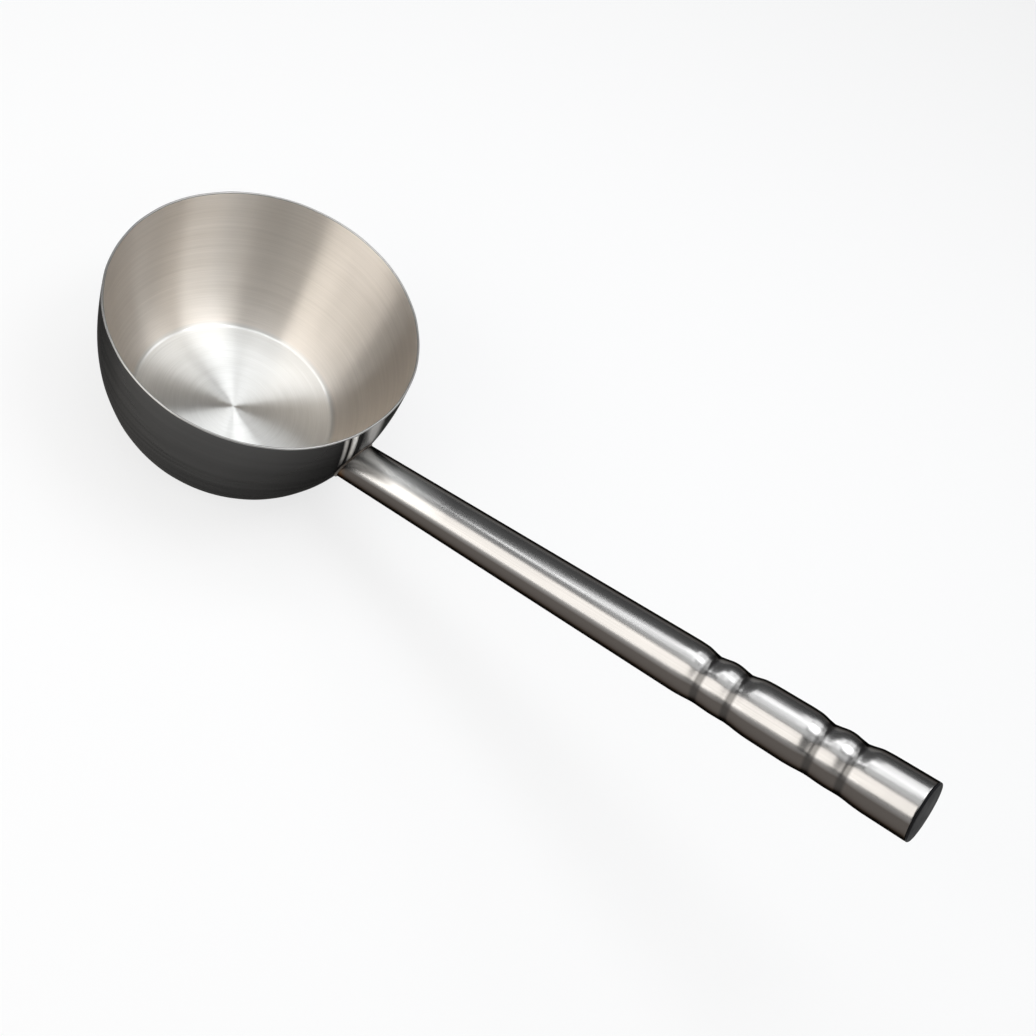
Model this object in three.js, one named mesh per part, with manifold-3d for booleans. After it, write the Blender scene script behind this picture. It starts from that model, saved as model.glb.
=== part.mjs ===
// Water ladle: a deep spun steel bowl with a hollow, tapered tube handle welded to its wall.
// Millimetres, +Z up. The origin is the centre of the flat face that the bowl stands on, the axis of the
// bowl is +Z, and the handle leans up and away over +X.
import * as THREE from 'three';
import { mergeVertices } from 'three/addons/utils/BufferGeometryUtils.js';
import Module from 'manifold-3d';

// Bowl: one sheet with a flat floor, a tight corner and a full wall. The wall is a single curve from the
// corner to the rim, pulled out at PULL_HEIGHT to within PULL_INSET of the rim's radius.
const RIM_RADIUS = 60;
const BOWL_HEIGHT = 61.4;
const SHEET = 1.5;
const FLOOR_RADIUS = 40.7;
const CORNER_SIZE = 2.4;
const PULL_INSET = 0.6;
const PULL_HEIGHT = 17;

// Handle: its axis meets the outside of the wall at ROOT_HEIGHT and rises at HANDLE_PITCH. The length is
// taken along the axis, from the wall to the open end of the tube.
const ROOT_HEIGHT = 33.6;
const HANDLE_PITCH = THREE.MathUtils.degToRad(19.75);
const HANDLE_LENGTH = 245.9;
const TUBE_ROOT_RADIUS = 8.3;
const TUBE_END_RADIUS = 11.2;
const TUBE_WALL = 0.6;

// Rolled grooves, in pairs near the open end. The tube is necked by NECK_DEPTH from the first groove of a
// pair to the second, and comes back to full size over a SHOULDER on either side.
const GROOVE_PAIRS = 2;
const PAIR_FROM_END = 32;
const PAIR_PITCH = 45;
const GROOVE_SPACING = 12.5;
const GROOVE_HALF_WIDTH = 2.4;
const GROOVE_DEPTH = 0.75;
const NECK_DEPTH = 0.5;
const SHOULDER = 5;

// Weld bead round the root of the tube.
const BEAD_LEG = 1.6;

// Plug in the open end: a flange over the edge of the tube and a hollow barrel with ring ribs inside it.
const FLANGE_THICKNESS = 0.9;
const FLANGE_ROUND = 0.6;
const PLUG_DEPTH = 12;
const PLUG_WALL = 1.6;
const PLUG_RIBS = 3;
const RIB_HEIGHT = 0.6;
const RIB_HALF_WIDTH = 0.8;

// Clearance between pieces that sit against each other.
const JOINT_GAP = 0.3;

// Fineness of the round surfaces.
const BOWL_SIDES = 64;
const TUBE_SIDES = 36;
const CORNER_STEPS = 4;
const WALL_STEPS = 11;
const EDGE_STEPS = 4;
const BEAD_STEPS = 48;
const BEAD_SIDES = 12;
const HALVINGS = 40;

const wasm = await Module();
wasm.setup();

// Turns a closed outline round +Z. The outline runs out along the underside, up the outside and back in.
function revolve(outline, sides) {
  return new THREE.LatheGeometry(outline, sides).rotateX(Math.PI / 2);
}

// Makes a closed geometry ready for cutting.
function toSolid(geometry) {
  const bare = geometry.clone();
  bare.deleteAttribute('normal');
  bare.deleteAttribute('uv');
  const merged = mergeVertices(bare);
  const corners = merged.index.array;
  const triangles = [];
  for (let i = 0; i < corners.length; i += 3) {
    const [a, b, c] = corners.slice(i, i + 3);
    if (a !== b && b !== c && c !== a) {
      triangles.push(a, b, c);
    }
  }
  return new wasm.Manifold(new wasm.Mesh({
    numProp: 3,
    vertProperties: merged.attributes.position.array,
    triVerts: Uint32Array.from(triangles),
  }));
}

// Turns a cut solid back into a geometry.
function toGeometry(solid) {
  const mesh = solid.getMesh();
  const geometry = new THREE.BufferGeometry();
  geometry.setAttribute('position', new THREE.BufferAttribute(mesh.vertProperties, 3));
  geometry.setIndex(new THREE.BufferAttribute(mesh.triVerts, 1));
  geometry.computeVertexNormals();
  return geometry;
}

// Finds where a rising test turns from true to false between two bounds.
function halve(low, high, holds) {
  for (let i = 0; i < HALVINGS; i++) {
    const middle = (low + high) / 2;
    if (holds(middle)) {
      low = middle;
    } else {
      high = middle;
    }
  }
  return low;
}

// Outside of the bowl, as radius and height: the corner at the floor, then the wall up to the rim.
const floorEdge = new THREE.Vector2(FLOOR_RADIUS - CORNER_SIZE, 0);
const cornerPull = new THREE.Vector2(FLOOR_RADIUS, 0);
const wallPull = new THREE.Vector2(RIM_RADIUS - PULL_INSET, PULL_HEIGHT);
const wallFoot = wallPull.clone().sub(cornerPull).setLength(CORNER_SIZE).add(cornerPull);
const wallTop = new THREE.Vector2(RIM_RADIUS, BOWL_HEIGHT - SHEET / 2);
const cornerCurve = new THREE.QuadraticBezierCurve(floorEdge, cornerPull, wallFoot);
const wallCurve = new THREE.QuadraticBezierCurve(wallFoot, wallPull, wallTop);

// Direction that points out of the bowl, square to a curve of its outside.
function outward(curve, t) {
  const along = curve.getTangent(t);
  return new THREE.Vector2(along.y, -along.x);
}

// Points up the bowl's outside, moved out by an offset, or in where the offset is negative.
function bowlSide(offset) {
  const corner = Array.from({ length: CORNER_STEPS }, (_, i) => [cornerCurve, i / CORNER_STEPS]);
  const wall = Array.from({ length: WALL_STEPS + 1 }, (_, i) => [wallCurve, i / WALL_STEPS]);
  return [...corner, ...wall].map(([curve, t]) =>
    curve.getPoint(t).addScaledVector(outward(curve, t), offset));
}

// Half-round edge of the rim, from the outside over the top to the inside.
function rimEdge() {
  const side = outward(wallCurve, 1);
  const up = wallCurve.getTangent(1);
  const middle = wallTop.clone().addScaledVector(side, -SHEET / 2);
  const points = [];
  for (let i = 1; i < EDGE_STEPS; i++) {
    const turn = Math.PI * i / EDGE_STEPS;
    const point = middle.clone().addScaledVector(side, Math.cos(turn) * SHEET / 2);
    points.push(point.addScaledVector(up, Math.sin(turn) * SHEET / 2));
  }
  return points;
}

function bowlGeometry() {
  return revolve([
    new THREE.Vector2(0, 0),
    ...bowlSide(0),
    ...rimEdge(),
    ...bowlSide(-SHEET).reverse(),
    new THREE.Vector2(0, SHEET),
  ], BOWL_SIDES);
}

// The bowl without its hollow, larger by an offset all round, for fitting other pieces to its outside.
function filledBowl(offset) {
  return revolve([
    new THREE.Vector2(0, -offset),
    ...bowlSide(offset),
    new THREE.Vector2(0, BOWL_HEIGHT),
  ], BOWL_SIDES);
}

// Place on the wall curve that is at a height.
function wallAt(height) {
  return halve(0, 1, (t) => wallCurve.getPoint(t).y < height);
}

// The handle's own frame: its origin is where the axis meets the wall, and its Z runs along the tube.
const handle = new THREE.Group();
handle.position.set(wallCurve.getPoint(wallAt(ROOT_HEIGHT)).x, 0, ROOT_HEIGHT);
handle.rotation.y = Math.PI / 2 - HANDLE_PITCH;
handle.updateMatrixWorld();
const toHandle = handle.matrixWorld.clone().invert();

// Middles of the groove pairs, along the tube.
const pairMiddles = Array.from({ length: GROOVE_PAIRS }, (_, i) =>
  HANDLE_LENGTH - PAIR_FROM_END - PAIR_PITCH * (GROOVE_PAIRS - 1 - i));

// How far the tube is drawn in at a distance along it.
function drawnIn(along) {
  let depth = 0;
  for (const middle of pairMiddles) {
    const fromMiddle = Math.abs(along - middle);
    const fromGroove = Math.abs(fromMiddle - GROOVE_SPACING / 2);
    const neckEnd = GROOVE_SPACING / 2 + GROOVE_HALF_WIDTH;
    depth += NECK_DEPTH * (1 - THREE.MathUtils.smoothstep(fromMiddle, neckEnd, neckEnd + SHOULDER));
    if (fromGroove < GROOVE_HALF_WIDTH) {
      depth += GROOVE_DEPTH * (1 + Math.cos(Math.PI * fromGroove / GROOVE_HALF_WIDTH)) / 2;
    }
  }
  return depth;
}

function coneRadius(along) {
  return THREE.MathUtils.lerp(TUBE_ROOT_RADIUS, TUBE_END_RADIUS, along / HANDLE_LENGTH);
}

function tubeOutside(along) {
  return coneRadius(along) - drawnIn(along);
}

function tubeInside(along) {
  return tubeOutside(along) - TUBE_WALL;
}

// The uncut tube reaches into the bowl by one diameter, and its root is then cut to the wall.
const uncutStart = -2 * TUBE_ROOT_RADIUS;

// Distances along the tube at which its outline bends.
function tubeStations() {
  const stations = [uncutStart, HANDLE_LENGTH];
  for (const middle of pairMiddles) {
    stations.push(middle);
    for (const side of [-1, 1]) {
      const groove = middle + side * GROOVE_SPACING / 2;
      for (const part of [-1, -0.5, 0, 0.5, 1]) {
        stations.push(groove + part * GROOVE_HALF_WIDTH);
      }
      for (const part of [0.5, 1]) {
        stations.push(groove + side * (GROOVE_HALF_WIDTH + part * SHOULDER));
      }
    }
  }
  return stations.sort((a, b) => a - b);
}

function tubeGeometry() {
  const stations = tubeStations();
  const outside = stations.map((along) => new THREE.Vector2(tubeOutside(along), along));
  const inside = stations.map((along) => new THREE.Vector2(tubeInside(along), along)).reverse();
  const uncut = revolve([...outside, ...inside, outside[0].clone()], TUBE_SIDES);
  const bowlSpace = filledBowl(JOINT_GAP).applyMatrix4(toHandle);
  return toGeometry(toSolid(uncut).subtract(toSolid(bowlSpace)));
}

// Plain filled end of the tube at the root, larger by an offset, for fitting the weld round it.
function filledRoot(offset) {
  const end = 2 * TUBE_ROOT_RADIUS;
  return revolve([
    new THREE.Vector2(0, uncutStart),
    new THREE.Vector2(coneRadius(uncutStart) + offset, uncutStart),
    new THREE.Vector2(coneRadius(end) + offset, end),
    new THREE.Vector2(0, end),
  ], TUBE_SIDES);
}

// Where the tube's surface meets the outside of the bowl at a turn round the tube: the centre of the bead
// there, and the two directions that span its section, all in the handle's frame.
function beadSection(turn) {
  const across = new THREE.Vector3(Math.cos(turn), Math.sin(turn), 0);
  const line = (along) => across.clone().multiplyScalar(coneRadius(along)).setZ(along);
  const inBowl = (along) => {
    const point = line(along).applyMatrix4(handle.matrixWorld);
    return Math.hypot(point.x, point.y) < wallCurve.getPoint(wallAt(point.z)).x;
  };
  const meeting = line(halve(uncutStart, -uncutStart, inBowl));
  const place = meeting.clone().applyMatrix4(handle.matrixWorld);
  const slope = outward(wallCurve, wallAt(place.z));
  const wallNormal = new THREE.Vector3(place.x, place.y, 0).setLength(slope.x).setZ(slope.y);
  wallNormal.transformDirection(toHandle);
  const alongTube = new THREE.Vector3(0, 0, 1);
  const alongWall = across.clone().projectOnPlane(wallNormal).normalize();
  const between = alongTube.clone().add(alongWall).normalize();
  const square = alongTube.clone().projectOnVector(between).negate().add(alongTube).normalize();
  const clearance = JOINT_GAP / Math.sin(between.angleTo(alongTube));
  return { centre: meeting.addScaledVector(between, clearance), between, square };
}

// A round bead along the whole joint, cut back from the bowl and the tube by the clearance.
function weldGeometry() {
  const positions = [];
  const triangles = [];
  for (let i = 0; i < BEAD_STEPS; i++) {
    const { centre, between, square } = beadSection(2 * Math.PI * i / BEAD_STEPS);
    const here = i * BEAD_SIDES;
    const there = (i + 1) % BEAD_STEPS * BEAD_SIDES;
    for (let j = 0; j < BEAD_SIDES; j++) {
      const turn = 2 * Math.PI * j / BEAD_SIDES;
      const point = centre.clone().addScaledVector(between, BEAD_LEG * Math.cos(turn));
      positions.push(...point.addScaledVector(square, BEAD_LEG * Math.sin(turn)).toArray());
      const beside = (j + 1) % BEAD_SIDES;
      triangles.push(here + j, there + j, there + beside);
      triangles.push(here + j, there + beside, here + beside);
    }
  }
  const ring = new THREE.BufferGeometry();
  ring.setAttribute('position', new THREE.Float32BufferAttribute(positions, 3));
  ring.setIndex(triangles);
  const bowlSpace = filledBowl(JOINT_GAP).applyMatrix4(toHandle);
  const tubeSpace = filledRoot(JOINT_GAP);
  return toGeometry(toSolid(ring).subtract(toSolid(bowlSpace)).subtract(toSolid(tubeSpace)));
}

// A cup that opens into the tube, with its floor as the flange and its ribs just clear of the tube's bore.
function plugGeometry() {
  const seat = HANDLE_LENGTH + JOINT_GAP;
  const face = seat + FLANGE_THICKNESS;
  const barrelEnd = seat - PLUG_DEPTH;
  const boreStations = [barrelEnd, ...tubeStations().filter((along) => along > barrelEnd)];
  const barrelRadius = Math.min(...boreStations.map(tubeInside)) - JOINT_GAP - RIB_HEIGHT;
  const flangeRadius = tubeOutside(HANDLE_LENGTH);
  const outline = [
    new THREE.Vector2(0, seat),
    new THREE.Vector2(barrelRadius - PLUG_WALL, seat),
    new THREE.Vector2(barrelRadius - PLUG_WALL, barrelEnd),
    new THREE.Vector2(barrelRadius, barrelEnd),
  ];
  for (let i = 1; i <= PLUG_RIBS; i++) {
    const rib = barrelEnd + PLUG_DEPTH * i / (PLUG_RIBS + 1);
    outline.push(new THREE.Vector2(barrelRadius, rib - RIB_HALF_WIDTH));
    outline.push(new THREE.Vector2(tubeInside(rib) - JOINT_GAP, rib));
    outline.push(new THREE.Vector2(barrelRadius, rib + RIB_HALF_WIDTH));
  }
  outline.push(new THREE.Vector2(barrelRadius, seat));
  outline.push(new THREE.Vector2(flangeRadius, seat));
  for (let i = 0; i <= EDGE_STEPS; i++) {
    const turn = Math.PI / 2 * i / EDGE_STEPS;
    outline.push(new THREE.Vector2(
      flangeRadius - FLANGE_ROUND * (1 - Math.cos(turn)),
      face - FLANGE_ROUND * (1 - Math.sin(turn)),
    ));
  }
  outline.push(new THREE.Vector2(0, face));
  return revolve(outline, TUBE_SIDES);
}

function piece(name, geometry, look) {
  const mesh = new THREE.Mesh(geometry, new THREE.MeshStandardMaterial(look));
  mesh.name = name;
  return mesh;
}

handle.add(piece('handle_tube', tubeGeometry(), { color: '#a9a6a1', roughness: 0.22, metalness: 1 }));
handle.add(piece('root_weld', weldGeometry(), { color: '#7d6a58', roughness: 0.45, metalness: 1 }));
handle.add(piece('end_plug', plugGeometry(), { color: '#232325', roughness: 0.6, metalness: 0 }));

const ladle = new THREE.Group();
ladle.add(piece('bowl', bowlGeometry(), { color: '#8f8b86', roughness: 0.35, metalness: 1 }));
ladle.add(handle);

export default ladle;
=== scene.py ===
import math

import bpy
from mathutils import Matrix, Quaternion, Vector


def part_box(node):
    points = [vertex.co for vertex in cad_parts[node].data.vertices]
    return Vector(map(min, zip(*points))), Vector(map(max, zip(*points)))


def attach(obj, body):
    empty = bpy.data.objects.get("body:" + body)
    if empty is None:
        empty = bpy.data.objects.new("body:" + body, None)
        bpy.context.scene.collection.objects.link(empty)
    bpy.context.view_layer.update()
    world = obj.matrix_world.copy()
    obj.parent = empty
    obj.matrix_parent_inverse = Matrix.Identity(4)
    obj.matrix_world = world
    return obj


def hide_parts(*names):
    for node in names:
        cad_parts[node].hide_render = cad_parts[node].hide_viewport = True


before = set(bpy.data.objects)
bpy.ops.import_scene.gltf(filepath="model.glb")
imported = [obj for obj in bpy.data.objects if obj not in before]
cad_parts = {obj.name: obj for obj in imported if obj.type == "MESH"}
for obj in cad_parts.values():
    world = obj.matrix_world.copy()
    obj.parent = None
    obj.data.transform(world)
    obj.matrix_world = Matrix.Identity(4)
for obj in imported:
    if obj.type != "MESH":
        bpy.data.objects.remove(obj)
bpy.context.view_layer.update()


# Bowl
# One round of stainless sheet, spun over a form into a deep bowl with a flat floor and a full wall, which
# the spinning leaves very slightly wavy. The inside is brushed in rings, the floor last, the outside is a
# satin painted near black, a painted reflection of dark surroundings, and the rim is ground thin and round.
SHEET = 0.0015
RIM_SHEET = 0.0009
BOWL_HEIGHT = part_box("bowl")[1][2]
RIM_RADIUS = 0.05998
FLOOR_RADIUS = 0.0407
CORNER_SIZE = 0.0024
INNER_CORNER = 0.0008
PULL_INSET = 0.0006
PULL_HEIGHT = 0.017
FLOOR_STEPS = 12
CORNER_STEPS = 10
WALL_STEPS = 40
RIM_STEPS = 12
BOWL_STEPS = 288
WALL_WAVE = 0.00005
WALL_WAVES = ((7, 1.0), (16, 0.7), (27, 0.5))
MERGE_GAP = 1e-6


def draw_outline(name, points):
    """Shrinks a small plane to one corner and draws an outline by extruding it from point to point."""
    bpy.ops.object.select_all(action="DESELECT")
    bpy.ops.mesh.primitive_plane_add(size=SHEET)
    piece = bpy.context.active_object
    piece.name = name
    piece.data.name = name
    bpy.ops.object.mode_set(mode="EDIT")
    bpy.ops.mesh.select_all(action="SELECT")
    bpy.ops.mesh.merge(type="CENTER")
    bpy.ops.transform.translate(value=points[0])
    for here, there in zip(points, points[1:]):
        bpy.ops.mesh.extrude_region_move(TRANSFORM_OT_translate={"value": there - here})
    return piece


def spin_outline(centre, axis, steps):
    """Spins the outline once round an axis, closes the seam and the poles, and turns the faces outwards."""
    bpy.ops.mesh.select_all(action="SELECT")
    bpy.ops.mesh.spin(steps=steps, angle=math.tau, center=centre, axis=axis)
    bpy.ops.mesh.select_all(action="SELECT")
    bpy.ops.mesh.remove_doubles(threshold=MERGE_GAP)
    bpy.ops.mesh.normals_make_consistent(inside=False)
    bpy.ops.object.mode_set(mode="OBJECT")


def sheet_bend(start, pull, end, steps):
    """Points of a bend in the sheet that leaves start towards pull and arrives at end from pull."""
    shares = [step / steps for step in range(steps + 1)]
    return [start * (1 - s) ** 2 + pull * 2 * s * (1 - s) + end * s ** 2 for s in shares]


def sheet_inside(line, start_sheet, end_sheet):
    """The inside face of a line of sheet that thins evenly from its start to its end."""
    last = len(line) - 1
    inside = []
    for place, point in enumerate(line):
        run = (line[min(place + 1, last)] - line[max(place - 1, 0)]).normalized()
        sheet = start_sheet + (end_sheet - start_sheet) * place / last
        inside.append(point + Vector((-run.z, 0, run.x)) * sheet)
    return inside


corner_pull = Vector((FLOOR_RADIUS, 0, 0))
wall_pull = Vector((RIM_RADIUS - PULL_INSET, 0, PULL_HEIGHT))
wall_top = Vector((RIM_RADIUS, 0, BOWL_HEIGHT - RIM_SHEET / 2))
wall_run = (wall_pull - corner_pull).normalized()
floor_edge = corner_pull - Vector((CORNER_SIZE, 0, 0))
wall_foot = corner_pull + wall_run * CORNER_SIZE
floor_line = [floor_edge * (step / FLOOR_STEPS) for step in range(FLOOR_STEPS)]
corner_line = sheet_bend(floor_edge, corner_pull, wall_foot, CORNER_STEPS)
wall_line = sheet_bend(wall_foot, wall_pull, wall_top, WALL_STEPS)

rim_centre = wall_top - Vector((RIM_SHEET / 2, 0, 0))
rim_turns = [math.pi * step / RIM_STEPS for step in range(1, RIM_STEPS)]
rim_line = [rim_centre + Vector((math.cos(turn), 0, math.sin(turn))) * RIM_SHEET / 2 for turn in rim_turns]

inside_wall = sheet_inside(wall_line, SHEET, RIM_SHEET)
inside_pull = inside_wall[0] - wall_run * (inside_wall[0].z - SHEET) / wall_run.z
inside_edge = inside_pull - Vector((INNER_CORNER, 0, 0))
inside_corner = sheet_bend(inside_edge, inside_pull, inside_pull + wall_run * INNER_CORNER, CORNER_STEPS)
floor_centre = Vector((0, 0, SHEET))
inside_floor = [floor_centre.lerp(inside_edge, step / FLOOR_STEPS) for step in range(FLOOR_STEPS)]
outside_line = floor_line + corner_line + wall_line[1:]
inside_line = inside_floor + inside_corner + inside_wall

bowl = draw_outline("bowl_shell", outside_line + rim_line + inside_line[::-1])
spin_outline((0, 0, 0), (0, 0, 1), BOWL_STEPS)


def smooth_step(value, start, end):
    """0 before start, 1 after end, and a soft rise between them."""
    share = min(max((value - start) / (end - start), 0.0), 1.0)
    return share * share * (3 - 2 * share)


for vertex in bowl.data.vertices:
    turn = math.atan2(vertex.co.y, vertex.co.x)
    wave = sum(share * (math.sin(count * (turn + count)) - 1) for count, share in WALL_WAVES)
    out = Vector((math.cos(turn), math.sin(turn), 0))
    vertex.co += out * WALL_WAVE * wave * smooth_step(vertex.co.z, CORNER_SIZE, PULL_HEIGHT)


def smooth_piece(piece, angle):
    """Shades a piece smooth, apart from edges sharper than an angle in degrees."""
    bpy.ops.object.select_all(action="DESELECT")
    piece.select_set(True)
    bpy.context.view_layer.objects.active = piece
    bpy.ops.object.shade_smooth_by_angle(angle=math.radians(angle))


def new_finish(name):
    """A new material, its node tree and its shader."""
    material = bpy.data.materials.new(name)
    material.use_nodes = True
    tree = material.node_tree
    return material, tree, tree.nodes["Principled BSDF"]


def add_node(tree, kind, inputs=None, **settings):
    """Adds a node to a tree, sets its fields, and sets or links its inputs by name or number."""
    node = tree.nodes.new(kind)
    for name, value in settings.items():
        setattr(node, name, value)
    for name, value in (inputs or {}).items():
        if isinstance(value, bpy.types.NodeSocket):
            tree.links.new(value, node.inputs[name])
        else:
            node.inputs[name].default_value = value
    return node


def add_math(tree, operation, *values):
    """Works out one value from others, in a node of its own."""
    node = add_node(tree, "ShaderNodeMath", dict(enumerate(values)), operation=operation)
    return node.outputs[0]


# Node group: marks that run round the axis of a turned or drawn piece.
ring_grain = bpy.data.node_groups.new("ring_grain", "ShaderNodeTree")
ring_grain.interface.new_socket("Place", in_out="INPUT", socket_type="NodeSocketVector")
ring_grain.interface.new_socket("Around", in_out="INPUT", socket_type="NodeSocketFloat")
ring_grain.interface.new_socket("Along", in_out="INPUT", socket_type="NodeSocketFloat")
ring_grain.interface.new_socket("Grain", in_out="OUTPUT", socket_type="NodeSocketFloat")
grain_in = add_node(ring_grain, "NodeGroupInput")
grain_xyz = add_node(ring_grain, "ShaderNodeSeparateXYZ", {0: grain_in.outputs["Place"]})
grain_flat = add_node(
    ring_grain, "ShaderNodeCombineXYZ", {0: grain_xyz.outputs[0], 1: grain_xyz.outputs[1]}
)
grain_radius = add_node(
    ring_grain, "ShaderNodeVectorMath", {0: grain_flat.outputs[0]}, operation="LENGTH"
)
grain_turn = add_node(
    ring_grain, "ShaderNodeVectorMath", {0: grain_flat.outputs[0]}, operation="NORMALIZE"
)
grain_around = add_node(
    ring_grain,
    "ShaderNodeVectorMath",
    {0: grain_turn.outputs["Vector"], "Scale": grain_in.outputs["Around"]},
    operation="SCALE",
)
grain_sum = add_math(ring_grain, "ADD", grain_radius.outputs["Value"], grain_xyz.outputs[2])
grain_along = add_math(ring_grain, "MULTIPLY", grain_sum, grain_in.outputs["Along"])
grain_rise = add_node(ring_grain, "ShaderNodeCombineXYZ", {2: grain_along})
grain_place = add_node(
    ring_grain,
    "ShaderNodeVectorMath",
    {0: grain_around.outputs["Vector"], 1: grain_rise.outputs[0]},
    operation="ADD",
)
grain_noise = add_node(
    ring_grain,
    "ShaderNodeTexNoise",
    {"Vector": grain_place.outputs["Vector"], "Scale": 1.0, "Detail": 3.0, "Roughness": 0.6},
)
grain_out = add_node(ring_grain, "NodeGroupOutput")
ring_grain.links.new(grain_noise.outputs[0], grain_out.inputs["Grain"])


def add_grain(tree, place, around, along):
    """Places the grain group in a material and gives its value."""
    node = add_node(tree, "ShaderNodeGroup", node_tree=ring_grain)
    tree.links.new(place, node.inputs["Place"])
    node.inputs["Around"].default_value = around
    node.inputs["Along"].default_value = along
    return node.outputs["Grain"]


def add_range(tree, value, low, high, start=0.3, end=0.7):
    """Maps a value from start to end, or the middle of a grain, to a range from low to high."""
    node = add_node(tree, "ShaderNodeMapRange", {0: value, 1: start, 2: end, 3: low, 4: high})
    return node.outputs[0]


def add_tint(tree, share, colour_a, colour_b):
    """Mixes two colours by a share."""
    node = add_node(tree, "ShaderNodeMix", {0: share}, data_type="RGBA")
    for place, colour in ((6, colour_a), (7, colour_b)):
        if isinstance(colour, bpy.types.NodeSocket):
            tree.links.new(colour, node.inputs[place])
        else:
            node.inputs[place].default_value = (*colour, 1)
    return node.outputs[2]


MARK_DEPTH = 0.0001
QUARTER_TURN = 0.25


def brushed_steel(name, dark, light, roughness, spread, anisotropy, edge, lines):
    """Steel brushed in rings round the bowl's axis."""
    material, tree, shader = new_finish(name)
    place = add_node(tree, "ShaderNodeTexCoord").outputs["Object"]
    fine = add_grain(tree, place, around=1.2, along=2600.0)
    coarse = add_grain(tree, place, around=0.9, along=420.0)
    both = add_math(tree, "ADD", fine, coarse)
    tint = add_tint(tree, add_range(tree, both, 0.0, 1.0, start=0.6, end=1.4), dark, light)
    tree.links.new(tint, shader.inputs["Base Color"])
    rubbed = add_range(tree, coarse, roughness - spread, roughness + spread)
    tree.links.new(rubbed, shader.inputs["Roughness"])
    bump = add_node(tree, "ShaderNodeBump", {"Strength": lines, "Distance": MARK_DEPTH, "Height": fine})
    tree.links.new(bump.outputs[0], shader.inputs["Normal"])
    tangent = add_node(tree, "ShaderNodeTangent", direction_type="RADIAL", axis="Z")
    tree.links.new(tangent.outputs[0], shader.inputs["Tangent"])
    shader.inputs["Metallic"].default_value = 1.0
    shader.inputs["Anisotropic"].default_value = anisotropy
    shader.inputs["Anisotropic Rotation"].default_value = QUARTER_TURN
    shader.inputs["Specular Tint"].default_value = (*edge, 1)
    return material


# The outside's near-black base colour is painted: a painted reflection of dark surroundings, not the
# steel's own tone.
bowl_outside = brushed_steel(
    "bowl_outside_painted_dark",
    dark=(0.084, 0.083, 0.081),
    light=(0.101, 0.099, 0.097),
    roughness=0.38,
    spread=0.03,
    anisotropy=0.8,
    edge=(0.1, 0.1, 0.1),
    lines=0.03,
)
bowl_inside = brushed_steel(
    "bowl_inside_brushed",
    dark=(0.685, 0.634, 0.574),
    light=(0.80, 0.744, 0.68),
    roughness=0.42,
    spread=0.03,
    anisotropy=1.0,
    edge=(0.8, 0.8, 0.8),
    lines=0.06,
)
bowl_rim = brushed_steel(
    "bowl_rim_ground",
    dark=(0.32, 0.313, 0.30),
    light=(0.40, 0.393, 0.38),
    roughness=0.4,
    spread=0.04,
    anisotropy=0.4,
    edge=(0.8, 0.8, 0.8),
    lines=0.04,
)

# The floor inside is brushed last and finer, which leaves it a shade cooler than the wall.
FLOOR_TONE = (0.92, 0.985, 1.05, 1)
FLOOR_FINER = -0.09
FLOOR_FADE = (SHEET * 1.1, SHEET * 2)
tree = bowl_inside.node_tree
shader = tree.nodes["Principled BSDF"]
tint = shader.inputs["Base Color"].links[0].from_socket
rubbed = shader.inputs["Roughness"].links[0].from_socket
place = add_node(tree, "ShaderNodeTexCoord").outputs["Object"]
height = add_node(tree, "ShaderNodeSeparateXYZ", {0: place}).outputs[2]
on_floor = add_range(tree, height, 1.0, 0.0, *FLOOR_FADE)
cooled = add_node(
    tree,
    "ShaderNodeMix",
    {0: on_floor, 6: tint, 7: FLOOR_TONE},
    data_type="RGBA",
    blend_type="MULTIPLY",
)
tree.links.new(cooled.outputs[2], shader.inputs["Base Color"])
finer = add_math(tree, "MULTIPLY_ADD", on_floor, FLOOR_FINER, rubbed)
tree.links.new(finer, shader.inputs["Roughness"])

FLOOR_FACING = 0.5
bowl_finishes = [bowl_outside, bowl_inside, bowl_rim]
for material in bowl_finishes:
    bowl.data.materials.append(material)
for face in bowl.data.polygons:
    outward = face.normal.x * face.center.x + face.normal.y * face.center.y
    if face.center.z > rim_centre.z:
        face.material_index = bowl_finishes.index(bowl_rim)
    elif outward < 0 or face.normal.z > FLOOR_FACING:
        face.material_index = bowl_finishes.index(bowl_inside)
smooth_piece(bowl, angle=40)
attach(bowl, "root")
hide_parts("bowl")


# Handle tube
# A hollow tapered stainless tube, polished, cut at its root to the curve of the wall and welded on there.
# Two pairs of grooves are rolled in near the hand end, each pair with a slight neck between its shoulders,
# a little deeper on the side where the roller pressed.
ROOT_HEIGHT = 0.0336
HANDLE_PITCH = math.radians(19.75)
HANDLE_LENGTH = 0.2459
TUBE_ROOT_RADIUS = 0.0083
TUBE_END_RADIUS = 0.01118
TUBE_WALL = 0.0006
GROOVE_PAIRS = 2
PAIR_FROM_END = 0.032
PAIR_PITCH = 0.045
GROOVE_SPACING = 0.0125
GROOVE_HALF_WIDTH = 0.006
GROOVE_DEPTH = 0.00046
CREASE_HALF_WIDTH = 0.0011
CREASE_DEPTH = 0.00006
NECK_DEPTH = 0.00042
SHOULDER = 0.010
PRESS_SHARE = 0.7
PRESS_TURN = math.radians(30)
END_ROUND = 0.00035
END_STEPS = 4
BORE_DEPTH = 0.03
BORE_GAUGE = 0.04
BORE_DRAW = 0.002
TUBE_STEPS = 96
TUBE_PITCH = 0.0012
GRIP_PITCH = 0.0004
GRIP_START = 0.15
ROOT_REACH = 0.03
ROOT_SINK = 0.0004
REACH_TRIES = 20


def wall_radius(height):
    """Outside radius of the bowl's wall at a height."""
    rise = wall_foot.z - 2 * wall_pull.z + wall_top.z
    slope = 2 * (wall_pull.z - wall_foot.z)
    share = (-slope + math.sqrt(slope ** 2 - 4 * rise * (wall_foot.z - height))) / (2 * rise)
    return (wall_foot * (1 - share) ** 2 + wall_pull * 2 * share * (1 - share) + wall_top * share ** 2).x


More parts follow.
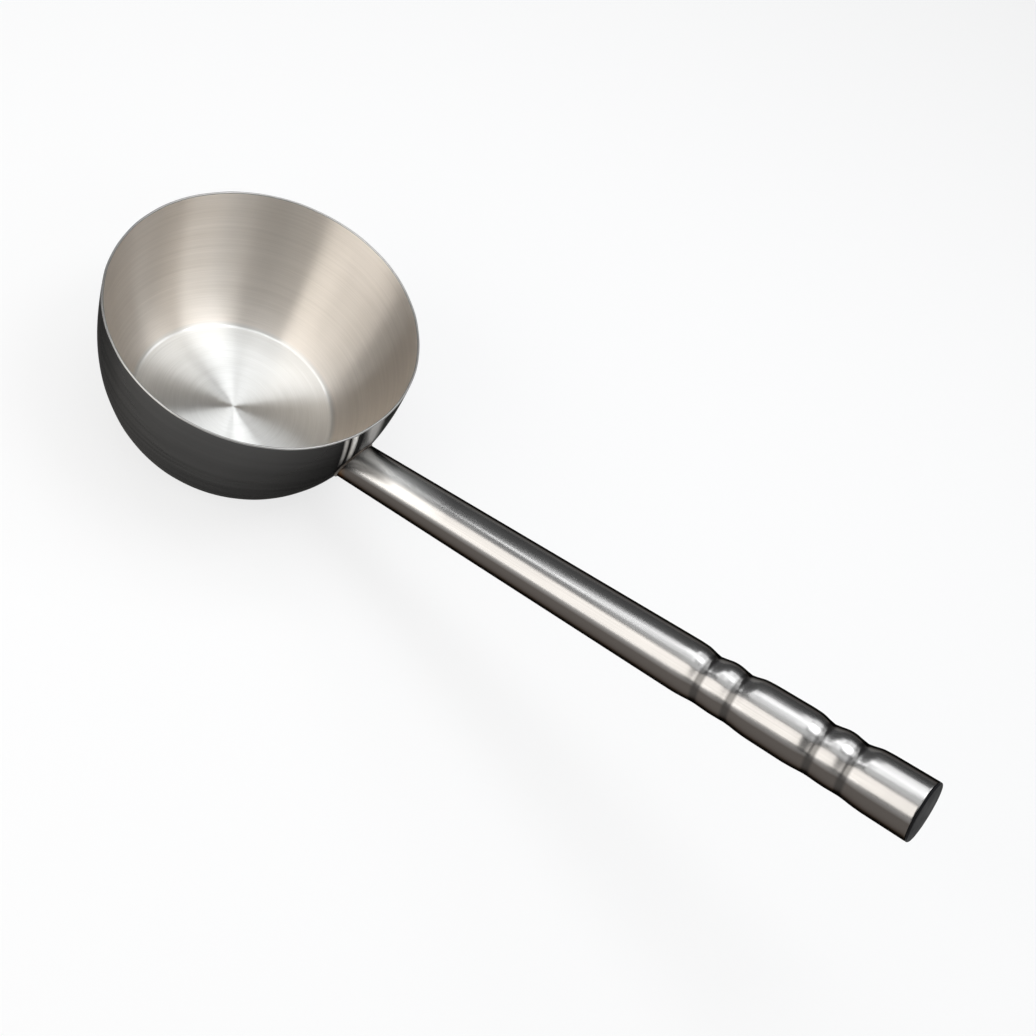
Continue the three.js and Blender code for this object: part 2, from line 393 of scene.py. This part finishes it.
handle_root = Vector((wall_radius(ROOT_HEIGHT), 0, ROOT_HEIGHT))
handle_axis = Vector((math.cos(HANDLE_PITCH), 0, math.sin(HANDLE_PITCH)))
handle_over = Vector((-math.sin(HANDLE_PITCH), 0, math.cos(HANDLE_PITCH)))
handle_side = Vector((0, 1, 0))
pair_middles = [HANDLE_LENGTH - PAIR_FROM_END - PAIR_PITCH * pair for pair in range(GROOVE_PAIRS)]


def rolled(along, half_width):
    """1 at the middle of the nearest groove, 0 past a half width from it, and round between them."""
    off = min(abs(abs(along - middle) - GROOVE_SPACING / 2) for middle in pair_middles)
    return 0.5 + 0.5 * math.cos(math.pi * min(off / half_width, 1.0))


def groove_depth(along):
    """How far the rolled grooves and the crease in each draw the tube in, on average round it."""
    return GROOVE_DEPTH * rolled(along, GROOVE_HALF_WIDTH) + CREASE_DEPTH * rolled(along, CREASE_HALF_WIDTH)


def neck_depth(along):
    """How far each pair of grooves necks the tube, evenly all round."""
    edge = GROOVE_SPACING / 2
    off = min(abs(along - middle) for middle in pair_middles)
    return NECK_DEPTH * (1 - smooth_step(off, edge, edge + SHOULDER))


def tube_radius(along):
    """Outside radius of the tube at a distance from the wall, grooves included."""
    taper = TUBE_ROOT_RADIUS + (TUBE_END_RADIUS - TUBE_ROOT_RADIUS) * along / HANDLE_LENGTH
    return taper - neck_depth(along) - groove_depth(along)


def on_handle(along, radius, turn=0.0):
    """A point at a distance along the handle, out by a radius, turned round its axis from the top."""
    out = handle_over * math.cos(turn) + handle_side * math.sin(turn)
    return handle_root + handle_axis * along + out * radius


def rounded_edge(along, radius, size, steps):
    """Points of a quarter round at the edge of a hand end, from its side to its face."""
    turns = [math.pi / 2 * step / steps for step in range(steps + 1)]
    edge = []
    for turn in turns:
        edge.append(on_handle(along - size * (1 - math.sin(turn)), radius - size * (1 - math.cos(turn))))
    return edge


def wall_reach(radius, turn):
    """How far along the handle a line of the tube meets the wall of the bowl."""
    along = 0.0
    for _ in range(REACH_TRIES):
        point = on_handle(along, radius, turn)
        along -= (math.hypot(point.x, point.y) - wall_radius(point.z)) / handle_axis.x
    return along


tube_rings = [step * TUBE_PITCH for step in range(int(GRIP_START / TUBE_PITCH))]
grip_steps = int((HANDLE_LENGTH - GRIP_START) / GRIP_PITCH)
tube_rings += [GRIP_START + step * GRIP_PITCH for step in range(grip_steps)]
tube_outline = [on_handle(along, tube_radius(along)) for along in tube_rings]
end_radius = tube_radius(HANDLE_LENGTH)
bore_radius = tube_radius(HANDLE_LENGTH - BORE_GAUGE) - TUBE_WALL - BORE_DRAW
tube_outline += rounded_edge(HANDLE_LENGTH, end_radius, END_ROUND, END_STEPS)
tube_outline.append(on_handle(HANDLE_LENGTH - END_ROUND, end_radius - TUBE_WALL))
tube_outline.append(on_handle(HANDLE_LENGTH - BORE_DEPTH, bore_radius))
handle = draw_outline("handle_tube_polished", tube_outline)
spin_outline(handle_root, handle_axis, TUBE_STEPS)

# How wide the painted shade in each groove spreads, stored on the tube's points.
GROOVE_SHADE_HALF_WIDTH = 0.0026
groove_shade = handle.data.attributes.new("groove", "FLOAT", "POINT")
for vertex in handle.data.vertices:
    offset = vertex.co - handle_root
    along = offset.dot(handle_axis)
    turn = math.atan2(offset.dot(handle_side), offset.dot(handle_over))
    radius = math.hypot(offset.dot(handle_side), offset.dot(handle_over))
    if along < ROOT_REACH:
        cope = wall_reach(radius, turn) - ROOT_SINK
        vertex.co += handle_axis * cope * (1 - along / ROOT_REACH)
    else:
        uneven = groove_depth(along) * PRESS_SHARE * math.cos(turn - PRESS_TURN)
        vertex.co = on_handle(along, radius - uneven, turn)
    groove_shade.data[vertex.index].value = rolled(along, GROOVE_SHADE_HALF_WIDTH)

# The handle's steel: polished, with a faint grain along the tube. Painted shade darkens it underneath, on
# its far side and in the grooves. Its top beside the weld is painted brighter, a painted highlight, and
# made a little rougher there; the weld's heat left a straw tint at the very root.
POLISHED_DARK = (0.315, 0.307, 0.299)
POLISHED_LIGHT = (0.366, 0.357, 0.347)
POLISH = (0.21, 0.26)
ROOT_HIGHLIGHT_STEEL = (0.70, 0.69, 0.67)
ROOT_HIGHLIGHT_REACH = 0.05
ROOT_HIGHLIGHT_TOP = (-0.0070, -0.0035)
ROOT_HIGHLIGHT_SIDE = (0.0, 0.003)
ROOT_HIGHLIGHT_SATIN = 0.12
UNDER_PAINTED_SHADE = (0.105, 0.093, 0.084)
UNDER_SHADE_FADE = (-0.52, -0.32)
FAR_PAINTED_SHADE = (0.115, 0.108, 0.102)
FAR_SHADE_FADE = (0.15, 0.55)
GROOVE_SHADE_STEEL = (0.045, 0.043, 0.041)
GROOVE_SHADE_FADE = (0.1, 0.7)
GROOVE_SHADE_SHARE = 0.7
STRAW_STEEL = (0.15, 0.10, 0.065)
STRAW_FADE = (0.0006, 0.003)
STRAW_SHARE = 0.7
handle_steel, tree, shader = new_finish("handle_polished")
place = add_node(tree, "ShaderNodeTexCoord").outputs["Object"]
along_handle = add_node(
    tree,
    "ShaderNodeMapping",
    {
        "Vector": place,
        "Location": handle_root,
        "Rotation": (0, math.pi / 2 - HANDLE_PITCH, 0),
    },
    vector_type="TEXTURE",
).outputs[0]
grain = add_grain(tree, along_handle, around=9.0, along=12.0)
smudge = add_grain(tree, along_handle, around=1.5, along=60.0)
tint = add_tint(tree, add_range(tree, grain, 0.0, 1.0), POLISHED_DARK, POLISHED_LIGHT)
down, sideways, outwards = add_node(tree, "ShaderNodeSeparateXYZ", {0: along_handle}).outputs
# Painted highlight: the tube's top beside the weld is painted lighter, and made a little rougher there.
on_top = add_range(tree, down, 1.0, 0.0, *ROOT_HIGHLIGHT_TOP)
by_root = add_range(tree, outwards, 1.0, 0.0, ROOT_HIGHLIGHT_REACH / 2, ROOT_HIGHLIGHT_REACH)
near_side = add_range(tree, sideways, 1.0, 0.0, *ROOT_HIGHLIGHT_SIDE)
root_highlight = add_math(tree, "MULTIPLY", on_top, by_root)
root_highlight = add_math(tree, "MULTIPLY", root_highlight, near_side)
tint = add_tint(tree, root_highlight, tint, ROOT_HIGHLIGHT_STEEL)
across = add_node(tree, "ShaderNodeCombineXYZ", {0: down, 1: sideways}).outputs[0]
turned = add_node(tree, "ShaderNodeVectorMath", {0: across}, operation="NORMALIZE").outputs["Vector"]
facing = add_node(tree, "ShaderNodeSeparateXYZ", {0: turned}).outputs
# Painted shade: the tube's underside is painted darker.
tint = add_tint(tree, add_range(tree, facing[0], 0.0, 1.0, *UNDER_SHADE_FADE), tint, UNDER_PAINTED_SHADE)
# Painted shade: the tube's far side is painted darker.
tint = add_tint(tree, add_range(tree, facing[1], 0.0, 1.0, *FAR_SHADE_FADE), tint, FAR_PAINTED_SHADE)
# Painted shade: the grooves are painted darker.
groove = add_node(tree, "ShaderNodeAttribute", attribute_name="groove").outputs["Fac"]
tint = add_tint(tree, add_range(tree, groove, 0.0, GROOVE_SHADE_SHARE, *GROOVE_SHADE_FADE), tint, GROOVE_SHADE_STEEL)
tint = add_tint(tree, add_range(tree, outwards, STRAW_SHARE, 0.0, *STRAW_FADE), tint, STRAW_STEEL)
tree.links.new(tint, shader.inputs["Base Color"])
polish = add_range(tree, smudge, *POLISH)
polish = add_math(tree, "MULTIPLY_ADD", root_highlight, ROOT_HIGHLIGHT_SATIN, polish)
tree.links.new(polish, shader.inputs["Roughness"])
bump = add_node(tree, "ShaderNodeBump", {"Strength": 0.02, "Distance": MARK_DEPTH, "Height": grain})
tree.links.new(bump.outputs[0], shader.inputs["Normal"])
shader.inputs["Metallic"].default_value = 1.0
shader.inputs["Specular Tint"].default_value = (0, 0, 0, 1)
handle.data.materials.append(handle_steel)
smooth_piece(handle, angle=50)
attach(handle, "root")
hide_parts("handle_tube")


# Root weld
# The fillet that joins the tube to the wall all round: a thin bead run in one pass with filler wire.
# It keeps its fine ripples, and a brown heat tint in the corner by the wall, where it is only wiped.
BEAD_RADIUS = 0.0007
BEAD_SEGMENTS = 288
BEAD_SIDES = 14
BEAD_RIPPLES = 46
RIPPLE_SHARE = 0.06
RIPPLE_DRIFT = 1.4
DRIFT_COUNT = 3
bpy.ops.object.select_all(action="DESELECT")
bpy.ops.mesh.primitive_torus_add(
    major_segments=BEAD_SEGMENTS,
    minor_segments=BEAD_SIDES,
    major_radius=TUBE_ROOT_RADIUS,
    minor_radius=BEAD_RADIUS,
)
weld = bpy.context.active_object
weld.name = "root_weld_bead"
weld.data.name = "root_weld_bead"
heat = weld.data.attributes.new("heat", "FLOAT", "POINT")
for vertex in weld.data.vertices:
    turn = math.atan2(vertex.co.y, vertex.co.x)
    drift = RIPPLE_DRIFT * math.sin(DRIFT_COUNT * turn)
    ripple = 1 + RIPPLE_SHARE * math.sin(BEAD_RIPPLES * turn + drift)
    out = (math.hypot(vertex.co.x, vertex.co.y) - TUBE_ROOT_RADIUS) * ripple
    lift = vertex.co.z * ripple
    heat.data[vertex.index].value = 0.5 - 0.5 * lift / BEAD_RADIUS
    vertex.co = on_handle(wall_reach(TUBE_ROOT_RADIUS, turn) + lift, TUBE_ROOT_RADIUS + out, turn)

BROWNED_DARK = (0.040, 0.018, 0.009)
BROWNED_LIGHT = (0.10, 0.048, 0.024)
WIPED_DARK = (0.067, 0.056, 0.047)
WIPED_LIGHT = (0.113, 0.097, 0.083)
HEAT_FADE = (0.15, 0.6)
WELD_ROUGHNESS = (0.36, 0.50)
weld_steel, tree, shader = new_finish("weld_heat_tinted")
place = add_node(tree, "ShaderNodeTexCoord").outputs["Object"]
heated = add_node(tree, "ShaderNodeAttribute", attribute_name="heat").outputs["Fac"]
patch = add_node(tree, "ShaderNodeTexNoise", {"Vector": place, "Scale": 420.0, "Detail": 3.0}).outputs[0]
speck = add_node(tree, "ShaderNodeTexNoise", {"Vector": place, "Scale": 2600.0, "Detail": 2.0}).outputs[0]
browned = add_tint(tree, add_range(tree, patch, 0.0, 1.0), BROWNED_DARK, BROWNED_LIGHT)
wiped = add_tint(tree, add_range(tree, patch, 0.0, 1.0), WIPED_DARK, WIPED_LIGHT)
tint = add_tint(tree, add_range(tree, heated, 0.0, 1.0, *HEAT_FADE), wiped, browned)
tree.links.new(tint, shader.inputs["Base Color"])
tree.links.new(add_range(tree, patch, *WELD_ROUGHNESS), shader.inputs["Roughness"])
bump = add_node(tree, "ShaderNodeBump", {"Strength": 0.2, "Distance": MARK_DEPTH, "Height": speck})
tree.links.new(bump.outputs[0], shader.inputs["Normal"])
shader.inputs["Metallic"].default_value = 1.0
weld.data.materials.append(weld_steel)
smooth_piece(weld, angle=60)

# The wall beside the weld: painted darker towards the root, a painted shade, with two narrow streaks and a
# broad faint one painted bright as painted highlights. A streak has its middle and half width in degrees,
# and its strength.
ROOT_SHADE_STEEL = (0.026, 0.025, 0.024)
ROOT_SHADE_REACH = 0.055
ROOT_SHADE_SHARE = 0.65
STREAK_HIGHLIGHT_STEEL = (0.95, 0.925, 0.89)
HIGHLIGHT_STREAKS = ((-10.5, 1.2, 1.0), (-6.8, 1.7, 1.0), (3.0, 6.0, 0.6))
STREAK_CORE = 0.3
STREAK_FOOT = 0.042
STREAK_FADE = 0.004
STREAK_LEAN = math.radians(180)
tree = bowl_outside.node_tree
shader = tree.nodes["Principled BSDF"]
tint = shader.inputs["Base Color"].links[0].from_socket
place = add_node(tree, "ShaderNodeTexCoord").outputs["Object"]
# Painted shade: the wall's colour darkens towards the handle's root.
away = add_node(tree, "ShaderNodeVectorMath", {0: place, 1: handle_root}, operation="DISTANCE")
root_shade = add_range(tree, away.outputs["Value"], ROOT_SHADE_SHARE, 0.0, TUBE_ROOT_RADIUS, ROOT_SHADE_REACH)
tint = add_tint(tree, root_shade, tint, ROOT_SHADE_STEEL)
wall_place = add_node(tree, "ShaderNodeSeparateXYZ", {0: place}).outputs
wall_turn = add_math(tree, "ARCTAN2", wall_place[1], wall_place[0])
foot_lift = add_math(tree, "SUBTRACT", wall_place[2], STREAK_FOOT)
leaned = add_math(tree, "MULTIPLY_ADD", foot_lift, STREAK_LEAN, wall_turn)
above = add_range(tree, foot_lift, 0.0, 1.0, -STREAK_FADE, STREAK_FADE)
# Each streak is a painted highlight, a painted reflection in the wall's colour.
for middle, half_width, strength in HIGHLIGHT_STREAKS:
    off = add_math(tree, "SUBTRACT", leaned, math.radians(middle))
    off = add_math(tree, "ABSOLUTE", off)
    core = math.radians(half_width * STREAK_CORE)
    highlight_streak = add_range(tree, off, strength, 0.0, core, math.radians(half_width))
    highlight_streak = add_math(tree, "MULTIPLY", highlight_streak, above)
    tint = add_tint(tree, highlight_streak, tint, STREAK_HIGHLIGHT_STEEL)
tree.links.new(tint, shader.inputs["Base Color"])
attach(weld, "root")
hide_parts("root_weld")


# End plug
# A black plastic plug pushed into the open hand end: a thin flange that covers the cut edge of the tube,
# with a softly rounded edge and a slightly domed face, on a barrel that grips inside.
SEAT_GAP = 0.0001
PLUG_DEPTH = 0.012
FLANGE_THICKNESS = 0.00095
FLANGE_ROUND = 0.0006
FLANGE_BACK = 0.0002
FACE_DOME = 0.0002
BARREL_GAP = 0.0001
BARREL_LEAD = 0.0008
BARREL_DRAW = 0.0004
ROUND_STEPS = 8
plug_seat = HANDLE_LENGTH + SEAT_GAP
plug_foot = plug_seat - PLUG_DEPTH
flange_face = plug_seat + FLANGE_THICKNESS - FACE_DOME
barrel_radius = end_radius - TUBE_WALL - BARREL_GAP
dome_radius = end_radius - FLANGE_ROUND
plug_outline = [
    on_handle(plug_foot, 0.0),
    on_handle(plug_foot, barrel_radius - BARREL_LEAD),
    on_handle(plug_foot + BARREL_LEAD, barrel_radius - BARREL_DRAW),
    on_handle(plug_seat, barrel_radius),
    on_handle(plug_seat, end_radius - FLANGE_BACK),
]
plug_outline += rounded_edge(flange_face, end_radius, FLANGE_ROUND, ROUND_STEPS)
for step in range(1, ROUND_STEPS + 1):
    share = 1 - step / ROUND_STEPS
    plug_outline.append(on_handle(flange_face + FACE_DOME * (1 - share ** 2), dome_radius * share))
plug = draw_outline("end_plug_moulded", plug_outline)
spin_outline(handle_root, handle_axis, TUBE_STEPS)

PLASTIC_DARK = (0.009, 0.009, 0.010)
PLASTIC_LIGHT = (0.014, 0.014, 0.015)
PLASTIC_ROUGHNESS = (0.42, 0.55)
SPARK_DEPTH = 0.00008
plug_plastic, tree, shader = new_finish("plug_black_plastic")
place = add_node(tree, "ShaderNodeTexCoord").outputs["Object"]
spark = add_node(tree, "ShaderNodeTexNoise", {"Vector": place, "Scale": 2600.0, "Detail": 3.0}).outputs[0]
cloud = add_node(tree, "ShaderNodeTexNoise", {"Vector": place, "Scale": 160.0, "Detail": 2.0}).outputs[0]
tint = add_tint(tree, add_range(tree, cloud, 0.0, 1.0), PLASTIC_DARK, PLASTIC_LIGHT)
tree.links.new(tint, shader.inputs["Base Color"])
tree.links.new(add_range(tree, cloud, *PLASTIC_ROUGHNESS), shader.inputs["Roughness"])
bump = add_node(tree, "ShaderNodeBump", {"Strength": 0.15, "Distance": SPARK_DEPTH, "Height": spark})
tree.links.new(bump.outputs[0], shader.inputs["Normal"])
shader.inputs["Specular IOR Level"].default_value = 0.02
plug.data.materials.append(plug_plastic)
smooth_piece(plug, angle=40)
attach(plug, "root")
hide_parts("end_plug")


# Floor
# A plain white sweep under the ladle, not part of it, turned up at its edge all round. Seen by the camera,
# or in metal, it is nearly white and keeps a faint soft shadow.
SWEEP_RADIUS = 2.6
SWEEP_REACH = 1.2
SWEEP_RISE = 0.45
SWEEP_STEPS = 12
FLOOR_DROP = 0.0002
FLOOR_GLOW = 0.75
sweep_start = Vector((SWEEP_RADIUS, 0, -FLOOR_DROP))
sweep_pull = sweep_start + Vector((SWEEP_REACH, 0, 0))
sweep_end = sweep_pull + Vector((0, 0, SWEEP_RISE))
sweep_line = [Vector((0, 0, -FLOOR_DROP))] + sheet_bend(sweep_start, sweep_pull, sweep_end, SWEEP_STEPS)
floor = draw_outline("floor", sweep_line)
spin_outline((0, 0, 0), (0, 0, 1), TUBE_STEPS)
floor_white, tree, shader = new_finish("floor_white")
tree.nodes.remove(shader)
paper = add_node(tree, "ShaderNodeBsdfDiffuse", {"Color": (0.80, 0.80, 0.80, 1)})
glow = add_node(tree, "ShaderNodeEmission", {"Color": (1, 1, 1, 1), "Strength": 1.0})
path = add_node(tree, "ShaderNodeLightPath")
seen = add_math(tree, "ADD", path.outputs["Is Camera Ray"], path.outputs["Is Glossy Ray"])
seen = add_node(
    tree,
    "ShaderNodeMath",
    {0: seen, 1: path.outputs["Is Transmission Ray"]},
    operation="ADD",
    use_clamp=True,
)
share = add_math(tree, "MULTIPLY", seen.outputs[0], FLOOR_GLOW)
blend = add_node(tree, "ShaderNodeMixShader", {0: share, 1: paper.outputs[0], 2: glow.outputs[0]})
tree.links.new(blend.outputs[0], tree.nodes["Material Output"].inputs["Surface"])
floor.data.materials.append(floor_white)


# Light
# Softboxes in a dim room. A warm one stands at the near side, low behind the camera. Cool ones hang level
# over the ladle, with gaps between them that the steel mirrors as dark bands, and the brightest of them is
# a round one over the handle.
LIGHT_AIM = Vector((0.18, 0.0, 0.08))
NEAR_DISTANCE = 0.75
OVER_HEIGHT = 0.6
WARM_WHITE = (1.0, 0.97, 0.93)
COOL_WHITE = (0.95, 0.975, 1.0)
ROOM_COLOUR = (0.95, 0.97, 1.0, 1)
ROOM_LEVEL = 0.14
world = bpy.data.worlds.new("dim_room")
bpy.context.scene.world = world
world.use_nodes = True
world.node_tree.nodes["Background"].inputs["Color"].default_value = ROOM_COLOUR
world.node_tree.nodes["Background"].inputs["Strength"].default_value = ROOM_LEVEL


def add_softbox(name, place, side, back, width, depth, radiance, colour, shape="RECTANGLE"):
    """A softbox at a place, its width along side, that shines away from back."""
    data = bpy.data.lights.new(name, "AREA")
    data.shape = shape
    data.size = width
    data.size_y = depth
    data.color = colour
    area = width * depth * (1 if shape == "RECTANGLE" else math.pi / 4)
    data.energy = radiance * math.pi * area
    box = bpy.data.objects.new(name, data)
    bpy.context.scene.collection.objects.link(box)
    turn = Matrix((side, back.cross(side), back)).transposed().to_4x4()
    turn.translation = place
    box.matrix_world = turn


def add_near_softbox(name, rise, lean, radiance):
    """A warm softbox that fills two spans of angle in degrees, as seen from the middle of the handle.

    The rise goes round the handle, up from the near side. The lean goes along it, towards its hand end.
    """
    middle_rise = math.radians(sum(rise) / 2)
    middle_lean = math.radians(sum(lean) / 2)
    outward = handle_over * math.sin(middle_rise) - handle_side * math.cos(middle_rise)
    back = outward * math.cos(middle_lean) + handle_axis * math.sin(middle_lean)
    side = handle_axis * math.cos(middle_lean) - outward * math.sin(middle_lean)
    width = 2 * NEAR_DISTANCE * math.tan(math.radians(lean[1] - lean[0]) / 2)
    depth = 2 * NEAR_DISTANCE * math.tan(math.radians(rise[1] - rise[0]) / 2)
    place = LIGHT_AIM + back * NEAR_DISTANCE
    add_softbox(name, place, side, back, width, depth, radiance, WARM_WHITE)


def add_over_softbox(name, span_x, span_y, radiance, shape="RECTANGLE"):
    """A cool softbox that hangs level over two spans of the floor."""
    place = Vector((sum(span_x) / 2, sum(span_y) / 2, OVER_HEIGHT))
    side = Vector((1, 0, 0))
    back = Vector((0, 0, 1))
    width = span_x[1] - span_x[0]
    depth = span_y[1] - span_y[0]
    add_softbox(name, place, side, back, width, depth, radiance, COOL_WHITE, shape)


add_near_softbox("near_softbox", rise=(13, 58), lean=(-44, 6), radiance=2.75)
add_over_softbox("over_camera_softbox", span_x=(-0.30, 0.20), span_y=(-0.30, -0.08), radiance=1.2)
add_over_softbox("over_near_left_softbox", span_x=(-0.72, -0.44), span_y=(-0.42, -0.16), radiance=0.8)
add_over_softbox(
    "over_end_softbox", span_x=(0.05, 0.29), span_y=(-0.02, 0.28), radiance=6.0, shape="ELLIPSE"
)
add_over_softbox("over_middle_softbox", span_x=(-0.08, 0.04), span_y=(-0.08, 0.50), radiance=3.0)
add_over_softbox("over_bowl_softbox", span_x=(-0.24, -0.08), span_y=(-0.08, 0.10), radiance=1.9)
add_over_softbox("over_far_bowl_softbox", span_x=(-0.24, -0.08), span_y=(0.10, 0.29), radiance=3.8)
add_over_softbox("over_wall_softbox", span_x=(-0.33, -0.24), span_y=(-0.08, 0.17), radiance=3.1)
add_over_softbox("over_edge_softbox", span_x=(-0.44, -0.33), span_y=(-0.08, 0.03), radiance=5.2)
add_over_softbox("over_far_softbox", span_x=(0.10, 0.50), span_y=(0.36, 0.62), radiance=2.5)
add_over_softbox("over_hand_softbox", span_x=(0.40, 1.00), span_y=(-0.25, 0.25), radiance=1.8)
add_over_softbox("over_far_middle_softbox", span_x=(0.04, 0.20), span_y=(0.28, 0.55), radiance=1.2)


# Camera
# It looks down on the ladle from the near side, over the handle's root, and is rolled so that the handle
# runs down the picture's diagonal.
IMAGE_SIZE = 1036
FOCAL_PIXELS = 1700
SENSOR_WIDTH = 36.0
CAMERA_PLACE = Vector((0.2147, -0.3557, 0.5532))
CAMERA_AIM = Vector((0.1143, 0.0371, 0.0300))
CAMERA_ROLL = math.radians(32.55)
camera_data = bpy.data.cameras.new("camera")
camera_data.sensor_width = SENSOR_WIDTH
camera_data.lens = SENSOR_WIDTH * FOCAL_PIXELS / IMAGE_SIZE
camera_data.clip_start = 0.01
camera = bpy.data.objects.new("camera", camera_data)
bpy.context.scene.collection.objects.link(camera)
camera.location = CAMERA_PLACE
look = (CAMERA_AIM - CAMERA_PLACE).to_track_quat("-Z", "Y")
camera.rotation_mode = "QUATERNION"
camera.rotation_quaternion = look @ Quaternion((0, 0, 1), CAMERA_ROLL)
bpy.context.scene.camera = camera
bpy.context.scene.view_settings.view_transform = "Standard"
